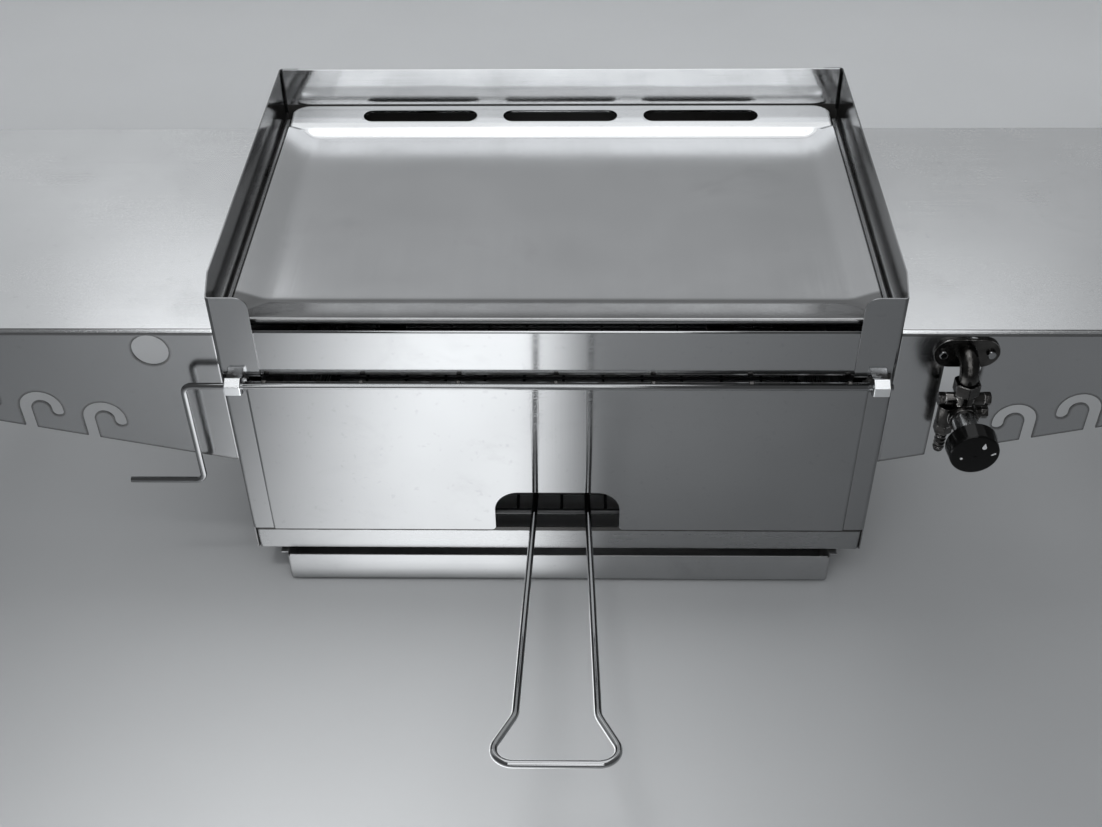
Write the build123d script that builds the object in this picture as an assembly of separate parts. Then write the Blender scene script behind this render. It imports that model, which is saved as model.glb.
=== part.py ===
from build123d import *
import os

# Gas barbecue of folded stainless sheet: a loose griddle plate over a gas burner, a wire rack behind a
# lift-up door, a drip tray under the body, a shelf with a hooked apron on each side and a gas tap.
# Millimetres. While it is drawn, the front flanges lie on Y = 0, +Y runs to the back, X = 0 is the middle
# and Z = 0 is the bottom edge of the body. The finished pieces move to the middle of the floor.

# Stock and clearances
sheet = 1.5                 # body and shelf sheet
bend = 2.0                  # inside radius of a fold
rod_radius = 3.0            # hinge rod
frame_radius = 3.0          # rack frame and handle wire
grid_radius = 1.5           # thin wires of the rack
running_fit = 0.05          # radial clearance of a rod in its bush
seat_gap = 0.3              # between a loose piece and what carries it
thread_gap = 0.1            # radial clearance of a screw or spigot in its hole
match = 0.001               # how closely an edge's place is matched

# Body
body_width = 600.0
body_depth = 400.0
wall_height = 320.0         # top of the side walls
floor_gap = 43.0            # bottom of the body above the floor
front_flange = 36.0
rear_flange = 20.0
tab_drop = 12.0             # top of the front flanges, below the side walls
tab_corner = 11.0
slant_run = 18.0            # length of the slanted front end of a side wall's top edge
rail_height = 29.0
rail_clear = 1.0            # between the rail and the front flanges above it
rail_setback = 3.0
rail_tab = 25.0             # end of the rail, folded back along the side wall
fascia_drop = 49.0          # top of the fascia, below the side walls
fascia_height = 48.0
hem_depth = 12.0
hem_radius = 0.1
rivet_radius = 2.0
rivet_head_radius = 4.0
rivet_head_height = 2.2
rivet_rounding = 1.8
rivets_per_side = 4
rivet_margin = 35.0

# Door on its hinge rod
hinge_drop = 5.5            # rod's axis below the fascia
bush_across = 16.0          # across the flats; a flat sits on the flange
bush_length = 14.5
bush_inset = 5.5            # from the side of the body to the bush
door_side_gap = 1.5         # between the door and a bush
door_rail_gap = 5.0         # between the rail and the door above it
door_flange_gap = 0.6       # between the door's folded sides and the flanges
door_above_rod = 2.0        # door edge above the rod's axis
door_bend = 1.0
door_return_drop = 6.0      # folded edges start this far below the rod's axis
notch_width = 120.0
notch_height = 50.0
notch_corner = 23.0
notch_flare = 4.0
rod_end_inset = 2.0         # right end of the rod, from the side of the body
crank_reach = 33.0          # crank arm, outside the side of the body
crank_drop = 115.0
crank_grip = 70.0
crank_bend = 8.0
weld_count = 7
weld_margin = 18.0
weld_length = 5.0
weld_radius = 2.0
weld_rounding = 1.7

# Griddle
griddle_plate = 3.0
griddle_side_gap = 8.5      # to the inner face of a side wall
griddle_front = 10.0
griddle_back_gap = 2.0
griddle_drop = 40.0         # top of the rim, below the side walls
griddle_sink = 12.0         # depth of the cooking floor below the rim
side_slope = 31.0
front_slope = 43.0
rear_slope = 14.0
rear_deck = 43.0            # flat deck with the vents, behind the rear slope
floor_corner = 8.0
rim_corner = 14.0
deck_corner = 18.0
front_lip = 7.0
side_hem = 10.0
vent_length = 122.0
vent_width = 21.0
vent_bridge = 28.0
vent_count = 3
vent_from_back = 20.0
ledge_width = 26.0
ledge_leg = 10.0
ledge_end_gap = 15.0

# Rack and handle
rack_side_gap = 42.5        # to the inner face of a side wall
rack_back_gap = 52.0
rack_front = 9.0
rack_height = 42.0          # axis of the frame wire
rack_sidestep = 4.0         # the rack lies a little right of the middle
rack_corner = 18.0
bar_pitch = 43.0
wire_pitch = 18.0
handle_spread = 50.0        # between the two rods where they leave the body
handle_widening = 0.022     # sideways lean of each rod, per length
handle_slope = 0.22
handle_rise_start = 80.0    # where the rods leave the rack
handle_root = 70.0          # length that lies on the rack
handle_reach = 357.0        # outer edge of the end bar, in front of the body
handle_flare = 94.0         # between the rods' axes at the widest place
flare_length = 52.0
flare_bend = 24.0
end_bend = 17.0
grip_width = 87.4           # between the corners of the end bar
grip_bend = 15.3
rise_bend = 60.0
rack_runner_width = 56.0
rack_runner_leg = 22.0
rack_runner_front = 6.0
rack_runner_end_gap = 6.0

# Drip tray, its runners and the feet
tray_side_gap = 2.5         # between the tray and a runner
tray_sheet = 1.2
tray_proud = 3.0            # front of the tray, in front of the body
tray_end_gap = 12.0
tray_bottom = 40.0          # below the body
tray_front_top = 5.0        # top of the tray's front, below the body
tray_corner = 3.0
tray_lip = 7.0
tray_runner_width = 25.0
tray_runner_drop = 10.0     # bottom of the runner, below the body
tray_runner_leg = 34.0
tray_runner_gap = 2.0       # between the rail's ends and the runners
tray_runner_end_gap = 5.0
foot_inset = 13.0           # foot axis, from the side of the body
foot_top_radius = 9.0
foot_radius = 11.0
foot_stud_radius = 4.0
foot_stud_length = 9.0
foot_rounding = 2.0
foot_front = 75.0
foot_back_gap = 52.0
foot_nut_across = 13.0
foot_nut_height = 5.0

# Burner and gas line
gas_drop = 35.5             # axis of the gas line and the burner, below the griddle's rim
burner_radius = 11.0
burner_wall = 1.5
burner_front = 120.0
burner_back_gap = 117.0
burner_bend = 70.0
burner_left_gap = 62.0      # from the inner face of the left wall
burner_mouth_gap = 20.0     # from the inner face of the right wall
burner_end_gap = 48.0
port_radius = 1.6
port_pitch = 28.0
port_margin = 26.0
air_window = 10.0
strap_width = 25.0
strap_thickness = 2.0
strap_tab = 20.0
strap_spread = 300.0
pipe_radius = 5.0
pipe_bore = 3.5
pipe_bend = 25.0
injector_radius = 7.5
injector_across = 20.0
injector_head = 8.0
injector_tail = 4.0
nozzle_root = 5.0
nozzle_tip = 2.5
nozzle_bore = 1.0
nozzle_length = 18.0
injector_nut_across = 22.0
injector_nut_length = 8.0

# Shelves
shelf_width = 342.0
shelf_drop = 54.0           # shelf below the top of the side walls
shelf_front = 9.0
shelf_back_gap = 30.0       # back of the shelf, from the back of the body
apron_height = 154.0        # at the body
apron_slope = 0.224
shelf_inner_flange = 40.0
shelf_outer_flange = 30.0
tap_offset = 61.0           # tap and round hole, outside the side of the body
tap_hole_radius = 16.5
hook_first = 119.5          # middle of the first hook, outside the side of the body
hook_pitch = 56.0
hook_margin = 40.0          # least distance from the last hook to the shelf's end
hook_slot = 10.5
hook_radius = 14.5          # middle line of the curl
hook_rise = 36.0            # top of the curl's centre line above the apron's edge
hook_tip = 3.0
shelf_bolt_radius = 3.0
shelf_bolt_across = 10.0
shelf_bolt_head = 4.0
shelf_bolt_drop = 28.0      # below the shelf
shelf_nut_height = 5.0
shelf_bolt_margin = 36.0    # from the shelf's front and back
shelf_bolt_count = 3
pipe_notch_radius = 15.0

# Gas tap
tap_drop = 51.2             # knob's axis below the gas line
elbow_front = 21.0          # elbow's upright axis, in front of the apron
elbow_radius = 8.5
elbow_bore = 5.0
elbow_bend = 14.0
elbow_behind = 11.0
union_drop = 22.5           # below the gas line
union_across = 21.0
union_length = 12.0
tap_flange_width = 58.0
tap_flange_height = 30.0
tap_flange_plate = 3.0
tap_bolt_spread = 42.0
tap_bolt_radius = 2.0
tap_bolt_across = 8.0
tap_bolt_head = 3.5
tap_nut_height = 4.0
barrel_radius = 13.0
barrel_length = 27.0
column_radius = 9.0
boss_radius = 6.0
plug_across = 11.0
plug_length = 6.0
plug_reach = 17.0           # end of a side boss, from the tap's axis
plug_rise = 15.0            # upper bosses, above the tap's axis
inlet_offset = 13.0         # hose barb, left of the tap's axis
inlet_radius = 8.0
inlet_drop = 13.0           # bottom of the inlet, below the tap's axis
inlet_rise = 8.0            # top of the inlet, above the tap's axis
barb_radius = 4.0
barb_bore = 2.5
barb_rib = 1.3
barb_ribs = 5
barb_length = 32.0
barb_nut_across = 15.0
barb_nut_length = 9.0
bonnet_length = 24.0
bonnet_back_radius = 11.5
bonnet_front_radius = 10.3
bonnet_bore = 8.3
bonnet_face = 2.5
stem_radius = 4.0
stem_in_knob = 9.0
collar_length = 4.0
collar_from_face = 5.0
push_travel = 3.5
knob_clear = 1.0            # left between knob and bonnet when pushed in
knob_radius = 22.3
knob_depth = 16.7
knob_taper = 1.2
knob_edge = 2.0
knob_dome = 1.0
knob_rim = 2.5
knob_hollow = 6.0
knob_hub = 8.0
pipe_nut_across = 17.0
pipe_nut_length = 14.0

# Places that follow from the sizes above
half = body_width / 2
inner_half = half - sheet
fold = sheet + bend
flat_half = inner_half - bend
back_face = body_depth - 2 * sheet
fascia_back = 2 * sheet
tab_height = wall_height - tab_drop
flange_bottom = rail_height + rail_clear
fascia_top = wall_height - fascia_drop
fascia_bottom = fascia_top - fascia_height
hinge_height = fascia_bottom - hinge_drop
hinge_y = -bush_across / 2
door_front = hinge_y + rod_radius
door_return = -door_flange_gap - door_front
door_bottom = rail_height + door_rail_gap
bush_outer = half - bush_inset
bush_inner = bush_outer - bush_length
door_half = bush_inner - door_side_gap
griddle_half = inner_half - griddle_side_gap
griddle_back = back_face - griddle_back_gap
griddle_height = wall_height - griddle_drop
griddle_floor = griddle_height - griddle_sink
crest_back = griddle_back - rear_deck
ledge_top = griddle_height - side_hem - seat_gap
wire_height = rack_height + frame_radius + grid_radius
bar_height = wire_height - 2 * grid_radius
runner_top = rack_height - frame_radius - seat_gap
tray_runner_top = -tray_runner_drop + sheet
tray_top = tray_runner_top + seat_gap + tray_sheet
tray_half = inner_half - tray_runner_width - tray_side_gap
foot_x = half - foot_inset
gas_height = griddle_height - gas_drop
burner_back = back_face - burner_back_gap
shelf_height = wall_height - shelf_drop
shelf_depth = body_depth - shelf_back_gap - shelf_front
apron_bottom = shelf_height - apron_height
tap_x = half + tap_offset
tap_height = gas_height - tap_drop
union_height = gas_height - union_drop
apron_back = shelf_front + sheet
tap_y = shelf_front - elbow_front
barrel_front = tap_y - barrel_length / 2
barrel_back = tap_y + barrel_length / 2
bonnet_front = barrel_front - bonnet_length
knob_back = bonnet_front - push_travel - knob_clear
knob_front = knob_back - knob_depth
pipe_start = apron_back + elbow_behind

nodes = {}


def block(x, y, z):
    """Box between two values on each axis."""
    return Pos(sum(x) / 2, sum(y) / 2, sum(z) / 2) * Box(x[1] - x[0], y[1] - y[0], z[1] - z[0])


def folded(points, side, radius=bend, thickness=sheet):
    """Section of a sheet whose outer face follows a folded line."""
    line = FilletPolyline(*points, radius=radius + thickness)
    return make_face(line.offset_2d(thickness, side=side).edges())


def upward(face, bottom, top):
    """A plan drawn in X and Y, raised between two heights."""
    return extrude(Pos(0, 0, bottom) * face, top - bottom)


def sideways(face, left, right):
    """A section drawn in Y and Z, drawn out between two X values."""
    return extrude(Plane.YZ.offset(left) * face, right - left)


def backward(face, front, back):
    """A front view drawn in X and Z, drawn out between two Y values."""
    return extrude(Plane.XZ.offset(-back) * face, back - front)


def edges_at(solid, axis, **place):
    """Straight edges along an axis whose middle has the given coordinates."""
    found = ShapeList()
    for edge in solid.edges().filter_by(axis):
        middle = edge.center()
        if all(abs(getattr(middle, name) - value) < match for name, value in place.items()):
            found.append(edge)
    return found


def bar(start, direction, radius, length, bore=0.0):
    """Round bar, or tube, from a point along a direction."""
    base = Plane(start, z_dir=direction)
    ring = Circle(radius)
    if bore:
        ring -= Circle(bore)
    return extrude(base * ring, length)


def hexagon(start, direction, across, length, bore=0.0, x_dir=(0, 0, 1)):
    """Hex bar or nut from a point along a direction; a flat faces x_dir."""
    base = Plane(start, x_dir=x_dir, z_dir=direction)
    outline = RegularPolygon(across / 2, 6, major_radius=False, rotation=30)
    if bore:
        outline -= Circle(bore)
    return extrude(base * outline, length)


def wire_along(path, radius, bore=0.0):
    """Round wire, or tube, along a path."""
    ring = Circle(radius)
    if bore:
        ring -= Circle(bore)
    return sweep(Plane(path @ 0, z_dir=path % 0) * ring, path=path)


def row(count, pitch, middle=0.0):
    """Evenly spaced values about a middle."""
    return [middle + (index - (count - 1) / 2) * pitch for index in range(count)]


def pair(name, left):
    """A left piece and its mirror image on the right."""
    nodes[f"left_{name}"] = left
    nodes[f"right_{name}"] = mirror(left, about=Plane.YZ)


# Side panels: one folded sheet each
shelf_bolt_z = shelf_height - shelf_bolt_drop
shelf_bolt_pitch = (shelf_depth - 2 * shelf_bolt_margin) / (shelf_bolt_count - 1)
shelf_bolt_y = row(shelf_bolt_count, shelf_bolt_pitch, shelf_front + shelf_depth / 2)
rivet_z = row(rivets_per_side, (wall_height - 2 * rivet_margin) / (rivets_per_side - 1), wall_height / 2)
rivet_x = half - rear_flange / 2


def side_panel():
    plan = folded(
        [(front_flange - half, 0), (-half, 0), (-half, body_depth), (rear_flange - half, body_depth)],
        Side.RIGHT)
    panel = upward(plan, 0, wall_height)
    slant = Polyline(
        (0, tab_height), (fold, tab_height), (fold + slant_run, wall_height), (0, wall_height), close=True)
    panel -= sideways(make_face(slant), -half, front_flange - half)
    panel -= block((-half, front_flange - half), (0, fold), (0, flange_bottom))
    panel = fillet(edges_at(panel, Axis.Y, X=front_flange - half, Z=tab_height), tab_corner)
    for y in shelf_bolt_y:
        panel -= bar((-half, y, shelf_bolt_z), (1, 0, 0), shelf_bolt_radius + thread_gap, sheet)
    for z in rivet_z:
        panel -= bar((-rivet_x, body_depth, z), (0, -1, 0), rivet_radius, sheet)
    return panel


pair("side_panel", side_panel())
injector_hole = bar((inner_half, burner_front, gas_height), (1, 0, 0), injector_radius + thread_gap, sheet)
nodes["right_side_panel"] -= injector_hole

# Back panel and the rivets that join it to the side panels
back_panel = block((-flat_half, flat_half), (back_face, back_face + sheet), (0, wall_height))
rivets = []
for x in (-rivet_x, rivet_x):
    for z in rivet_z:
        back_panel -= bar((x, back_face, z), (0, 1, 0), rivet_radius, sheet)
        shank = bar((x, back_face, z), (0, 1, 0), rivet_radius, 2 * sheet)
        head = Cylinder(rivet_head_radius, rivet_head_height, align=(Align.CENTER, Align.CENTER, Align.MIN))
        head = fillet(head.edges().sort_by(Axis.Z)[-1], rivet_rounding)
        rivets.append(shank + Plane((x, body_depth, z), z_dir=(0, 1, 0)) * head)
nodes["back_panel"] = back_panel
nodes["rear_rivets"] = Compound(rivets)

# Front fascia with a hem folded shut along its top
hem_width = 2 * (sheet + hem_radius) + hem_radius
fascia = folded(
    [(sheet, fascia_bottom), (sheet, fascia_top), (sheet + hem_width, fascia_top),
     (sheet + hem_width, fascia_top - hem_depth)], Side.RIGHT, radius=hem_radius)
nodes["front_fascia"] = sideways(fascia, -flat_half, flat_half)

# Rail under the door, its ends folded back along the side walls
rail = folded(
    [(inner_half, rail_setback + rail_tab), (inner_half, rail_setback), (-inner_half, rail_setback),
     (-inner_half, rail_setback + rail_tab)], Side.RIGHT)
nodes["lower_front_rail"] = upward(rail, 0, rail_height)

# Hex bushes on the front flanges
pair("hinge_bush", hexagon(
    (-bush_outer, hinge_y, hinge_height), (1, 0, 0), bush_across, bush_length,
    rod_radius + running_fit, (0, 1, 0)))

# Griddle: a dished plate with a lip in front, hemmed sides and a vented deck behind
def griddle_rectangle(inset_side, inset_front, inset_back, corner):
    front = griddle_front + inset_front
    back = crest_back - inset_back
    width = 2 * (griddle_half - inset_side)
    return Pos(0, (front + back) / 2) * RectangleRounded(width, back - front, corner)


def griddle():
    rim = griddle_rectangle(0, 0, 0, rim_corner)
    floor = griddle_rectangle(side_slope, front_slope, rear_slope, floor_corner)
    dish = loft([Pos(0, 0, griddle_height) * rim, Pos(0, 0, griddle_floor) * floor], ruled=True)
    outline = Rectangle(2 * griddle_half, griddle_back - griddle_front)
    outline = Pos(0, (griddle_front + griddle_back) / 2) * outline
    hem_bottom = griddle_height - side_hem
    underside = griddle_height - griddle_plate
    skirt = upward(outline, hem_bottom, griddle_height)
    skirt -= upward(offset(outline, -griddle_plate), hem_bottom, underside)
    skirt -= block(
        (griddle_plate - griddle_half, griddle_half - griddle_plate),
        (griddle_front, griddle_front + griddle_plate), (hem_bottom, griddle_height - front_lip))
    skirt -= block((-griddle_half, griddle_half), (crest_back, griddle_back), (hem_bottom, underside))
    solid = skirt + Pos(0, 0, -griddle_plate) * dish - dish
    for x in row(vent_count, vent_length + vent_bridge):
        vent = Pos(x, griddle_back - vent_from_back) * SlotOverall(vent_length, vent_width)
        solid -= upward(vent, underside, griddle_height)
    corners = edges_at(solid, Axis.Z, Y=griddle_back)
    return fillet(corners, deck_corner)


nodes["griddle"] = griddle()
ledge = folded(
    [(-inner_half, ledge_top - ledge_leg), (-inner_half, ledge_top), (ledge_width - inner_half, ledge_top)],
    Side.RIGHT)
pair("griddle_ledge", backward(ledge, griddle_front + ledge_end_gap, back_face - ledge_end_gap))

# Door panel with folded sides and an arched notch for the rack's handle
def door_panel():
    plan = folded(
        [(-door_half, door_front + door_return), (-door_half, door_front), (door_half, door_front),
         (door_half, door_front + door_return)], Side.LEFT, radius=door_bend)
    panel = upward(plan, door_bottom, hinge_height + door_above_rod)
    for side in (-1, 1):
        panel -= block(
            sorted((side * door_half, side * (door_half - sheet - door_bend))),
            (door_front + sheet, door_front + door_return),
            (hinge_height - door_return_drop, hinge_height + door_above_rod))
    notch = Pos(0, door_bottom) * RectangleRounded(notch_width, 2 * notch_height, notch_corner)
    panel -= backward(notch, door_front, door_front + door_return)
    mouth = [edges_at(panel, Axis.Y, X=side * notch_width / 2, Z=door_bottom) for side in (-1, 1)]
    return fillet(mouth[0] + mouth[1], notch_flare)


nodes["door_panel"] = door_panel()

# Hinge rod, bent at its left end into the crank that lifts the door
crank_x = half + crank_reach
rod_path = FilletPolyline(
    (half - rod_end_inset, hinge_y, hinge_height), (-crank_x, hinge_y, hinge_height),
    (-crank_x, hinge_y, hinge_height - crank_drop),
    (-crank_x - crank_grip, hinge_y, hinge_height - crank_drop), radius=crank_bend)
nodes["hinge_rod"] = wire_along(rod_path, rod_radius)

# Tack welds between the rod and the door's top edge
welds = []
weld_z = hinge_height + door_above_rod
weld_pitch = 2 * (door_half - weld_margin) / (weld_count - 1)
for x in row(weld_count, weld_pitch):
    bead = bar((x - weld_length / 2, door_front, weld_z), (1, 0, 0), weld_radius, weld_length)
    bead = fillet(bead.edges().filter_by(GeomType.CIRCLE), weld_rounding)
    across = (x - weld_length, x + weld_length)
    bead -= block(across, (door_front, door_front + sheet), (door_bottom, weld_z))
    welds.append(bead - bar((across[0], hinge_y, hinge_height), (1, 0, 0), rod_radius, 2 * weld_length))
nodes["weld_beads"] = Compound(welds)

# Wire rack: frame, bars from front to back and thin wires across them
rack_half = inner_half - rack_side_gap - frame_radius
rack_near = rack_front + frame_radius
rack_far = back_face - rack_back_gap - frame_radius
rack_middle = (rack_near + rack_far) / 2
frame_outline = Pos(rack_sidestep, rack_middle, rack_height) * RectangleRounded(
    2 * rack_half, rack_far - rack_near, rack_corner)
nodes["rack_frame"] = wire_along(frame_outline.wire(), frame_radius)
bar_count = 2 * int((rack_half - rack_corner) / bar_pitch) + 1
bars = []
for x in row(bar_count, bar_pitch, rack_sidestep):
    bars.append(bar((x, rack_near + frame_radius, bar_height), (0, 1, 0), grid_radius,
                    rack_far - rack_near - 2 * frame_radius))
nodes["rack_bars"] = Compound(bars)
wire_count = 2 * int((rack_middle - rack_near - rack_corner) / wire_pitch) + 1
wires = []
for y in row(wire_count, wire_pitch, rack_middle):
    wires.append(bar((rack_sidestep - rack_half, y, wire_height), (1, 0, 0), grid_radius, 2 * rack_half))
nodes["rack_wires"] = Compound(wires)

# Handle: one wire that lies on the rack, rises through the notch and flares to a grip
handle_height = wire_height + grid_radius + frame_radius
grip_y = -handle_reach + frame_radius


def handle_point(side, width, y):
    rise = max(0.0, handle_rise_start - y) * handle_slope
    return (rack_sidestep + side * width / 2, y, handle_height + rise)


def handle_width(y):
    return handle_spread - 2 * handle_widening * y


flare_start = grip_y + flare_length
flare_end = grip_y + end_bend
left_rod = [
    handle_point(-1, handle_width(handle_rise_start), handle_rise_start + handle_root),
    handle_point(-1, handle_width(handle_rise_start), handle_rise_start),
    handle_point(-1, handle_width(flare_start), flare_start),
    handle_point(-1, handle_flare, flare_end),
    handle_point(-1, grip_width, grip_y)]
right_rod = [(2 * rack_sidestep - x, y, z) for x, y, z in reversed(left_rod)]
handle_bends = [rise_bend, flare_bend, end_bend, grip_bend]
handle_path = FilletPolyline(*left_rod, *right_rod, radius=handle_bends + handle_bends[::-1])
nodes["rack_handle"] = wire_along(handle_path, frame_radius)
rack_runner = folded(
    [(-inner_half, runner_top - sheet + rack_runner_leg), (-inner_half, runner_top - sheet),
     (rack_runner_width - inner_half, runner_top - sheet)], Side.LEFT)
pair("rack_runner", backward(rack_runner, rack_runner_front, back_face - rack_runner_end_gap))


# Drip tray: a folded pan that hangs by its side lips
def drip_tray():
    back = back_face - tray_end_gap
    pan = block((-tray_half, tray_half), (-tray_proud, back), (-tray_bottom, tray_top))
    pan = fillet(pan.edges().filter_by(Axis.Z) + pan.faces().sort_by(Axis.Z)[0].edges(), tray_corner)
    pan = offset(pan, -tray_sheet, openings=pan.faces().sort_by(Axis.Z)[-1])
    for side in (-1, 1):
        lip = sorted((side * tray_half, side * (tray_half + tray_lip)))
        pan += block(lip, (tray_corner, back - tray_corner), (tray_top - tray_sheet, tray_top))
    pan += block(
        (tray_corner - tray_half, tray_half - tray_corner), (-tray_proud, tray_sheet - tray_proud),
        (tray_top, -tray_front_top))
    return pan


nodes["drip_tray"] = drip_tray()
foot_back = back_face - foot_back_gap
foot_places = {
    "front_left": (-foot_x, foot_front), "front_right": (foot_x, foot_front),
    "rear_left": (-foot_x, foot_back), "rear_right": (foot_x, foot_back)}
tray_runner = folded(
    [(-inner_half, tray_runner_leg - tray_runner_drop), (-inner_half, -tray_runner_drop),
     (tray_runner_width - inner_half, -tray_runner_drop)], Side.LEFT)
tray_runner_front = rail_setback + rail_tab + tray_runner_gap
tray_runner = backward(tray_runner, tray_runner_front, back_face - tray_runner_end_gap)
for x, y in (foot_places["front_left"], foot_places["rear_left"]):
    tray_runner -= bar((x, y, -tray_runner_drop), (0, 0, 1), foot_stud_radius + thread_gap, sheet)
pair("tray_runner", tray_runner)

# Screw feet and the nuts that hold them on the runners
foot_profile = Polyline(
    (0, -floor_gap), (foot_radius, -floor_gap), (foot_top_radius, -tray_runner_drop),
    (foot_stud_radius, -tray_runner_drop), (foot_stud_radius, foot_stud_length - tray_runner_drop),
    (0, foot_stud_length - tray_runner_drop), close=True)
foot = revolve(Plane.XZ * make_face(foot_profile), Axis.Z)
foot = fillet(foot.edges().filter_by(GeomType.CIRCLE).sort_by(Axis.Z)[0], foot_rounding)
foot_nuts = []
for name, (x, y) in foot_places.items():
    nodes[f"{name}_foot"] = Pos(x, y) * foot
    foot_nuts.append(hexagon((x, y, tray_runner_top), (0, 0, 1), foot_nut_across, foot_nut_height,
                             foot_stud_radius + thread_gap, (1, 0, 0)))
nodes["foot_nuts"] = Compound(foot_nuts)


# Burner: a tube bent double, open at its mouth, on two straps
def burner_tube():
    mouth = inner_half - burner_mouth_gap
    left = burner_left_gap - inner_half
    end = inner_half - burner_end_gap
    path = FilletPolyline(
        (mouth, burner_front, gas_height), (left, burner_front, gas_height), (left, burner_back, gas_height),
        (end, burner_back, gas_height), radius=burner_bend)
    bore = burner_radius - burner_wall
    tube = wire_along(path, burner_radius, bore)
    tube += bar((end, burner_back, gas_height), (-1, 0, 0), bore, burner_wall)
    window = Pos(mouth - 2 * air_window, burner_front) * SlotOverall(2 * air_window, air_window)
    tube -= upward(window, gas_height, gas_height + burner_radius)
    first_port = left + burner_bend + port_margin
    port_count = int((end - port_margin - first_port) / port_pitch)
    for y in (burner_front, burner_back):
        for x in [first_port + index * port_pitch for index in range(port_count)]:
            tube -= bar((x, y - burner_radius, gas_height), (0, 1, 0), port_radius, 2 * burner_radius)
    return tube


nodes["burner_tube"] = burner_tube()
strap_bottom = gas_height - burner_radius - strap_thickness
strap = folded(
    [(fascia_back, strap_bottom + strap_tab), (fascia_back, strap_bottom), (back_face, strap_bottom),
     (back_face, strap_bottom + strap_tab)], Side.LEFT, thickness=strap_thickness)
nodes["burner_straps"] = Compound([
    sideways(strap, x - strap_width / 2, x + strap_width / 2) for x in row(2, strap_spread)])

# Injector through the right wall, its lock nut inside, and the gas pipe
injector_axis = (burner_front, gas_height)
nozzle_base = inner_half - injector_nut_length
pipe_end = half + injector_head + injector_tail
injector = bar((nozzle_base, *injector_axis), (1, 0, 0), injector_radius, pipe_end - nozzle_base)
injector += hexagon((half, *injector_axis), (1, 0, 0), injector_across, injector_head)
injector += Plane((nozzle_base - nozzle_length, *injector_axis), z_dir=(1, 0, 0)) * Cone(
    nozzle_tip, nozzle_root, nozzle_length, align=(Align.CENTER, Align.CENTER, Align.MIN))
injector -= bar((pipe_end, *injector_axis), (-1, 0, 0), nozzle_bore, pipe_end - nozzle_base + nozzle_length)
nodes["injector"] = injector
nodes["injector_nut"] = hexagon(
    (inner_half, *injector_axis), (-1, 0, 0), injector_nut_across, injector_nut_length,
    injector_radius + thread_gap)
pipe_path = FilletPolyline(
    (tap_x, pipe_start, gas_height), (tap_x, burner_front, gas_height), (pipe_end, burner_front, gas_height),
    radius=pipe_bend)
nodes["gas_pipe"] = wire_along(pipe_path, pipe_radius, pipe_bore)
nodes["pipe_nut"] = hexagon(
    (tap_x, pipe_start, gas_height), (0, 1, 0), pipe_nut_across, pipe_nut_length, pipe_radius + thread_gap)


# Shelves: a folded top with aprons in front and behind, and hook slots along the front apron's edge
def apron_edge(x):
    return apron_bottom + apron_slope * (x - half)


def hook_cut(x):
    """Cane-shaped slot that opens at the apron's lower edge, its curl towards the body."""
    mouth = apron_edge(x + hook_radius)
    centre = mouth + hook_rise - hook_radius
    curl = Line((x + hook_radius, mouth - hook_slot), (x + hook_radius, centre))
    curl += ThreePointArc((x + hook_radius, centre), (x, centre + hook_radius), (x - hook_radius, centre))
    curl += Line((x - hook_radius, centre), (x - hook_radius, centre - hook_tip))
    slot = trace(curl, hook_slot)
    return slot + Pos(x - hook_radius, centre - hook_tip) * Circle(hook_slot / 2)


def shelf():
    """Right-hand shelf, before the tap's opening is cut."""
    outer = half + shelf_width
    back = shelf_front + shelf_depth
    low = apron_bottom
    body = block((half, outer), (shelf_front, back), (low, shelf_height))
    folds = body.faces().sort_by(Axis.Z)[-1].edges() + body.edges().filter_by(Axis.Z)
    body = fillet(folds, fold)
    body = offset(body, -sheet, openings=body.faces().sort_by(Axis.Z)[0])
    lower = Polyline((half, low), (outer, low), (outer, apron_edge(outer)), close=True)
    body -= backward(make_face(lower), shelf_front, back)
    inside = (shelf_front + fold, back - fold)
    body -= block((half, half + fold), inside, (low, shelf_height - shelf_inner_flange))
    body -= block((outer - fold, outer), inside, (low, shelf_height - shelf_outer_flange))
    notch = Pos(burner_front, gas_height) * Circle(pipe_notch_radius)
    notch += Pos(burner_front, gas_height - shelf_inner_flange / 2) * Rectangle(
        2 * pipe_notch_radius, shelf_inner_flange)
    body -= sideways(notch, half, half + sheet)
    for y in shelf_bolt_y:
        body -= bar((half, y, shelf_bolt_z), (1, 0, 0), shelf_bolt_radius + thread_gap, sheet)
    hook_count = int((shelf_width - hook_first - hook_margin) / hook_pitch) + 1
    for index in range(hook_count):
        body -= backward(hook_cut(half + hook_first + index * hook_pitch), shelf_front, apron_back)
    return body


blank = shelf()
tap_hole = Pos(tap_x, gas_height) * Circle(tap_hole_radius)
nodes["left_shelf"] = mirror(blank - backward(tap_hole, shelf_front, apron_back), about=Plane.YZ)
tap_slot = tap_hole + Pos(tap_x, (gas_height + apron_bottom) / 2) * Rectangle(
    2 * tap_hole_radius, gas_height - apron_bottom)
tap_slot_cut = backward(tap_slot, shelf_front, apron_back)
bolt_x = [tap_x - tap_bolt_spread / 2, tap_x + tap_bolt_spread / 2]
tap_bolt_hole = tap_bolt_radius + thread_gap
for x in bolt_x:
    tap_slot_cut += bar((x, shelf_front, gas_height), (0, 1, 0), tap_bolt_hole, sheet)
nodes["right_shelf"] = blank - tap_slot_cut

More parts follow.
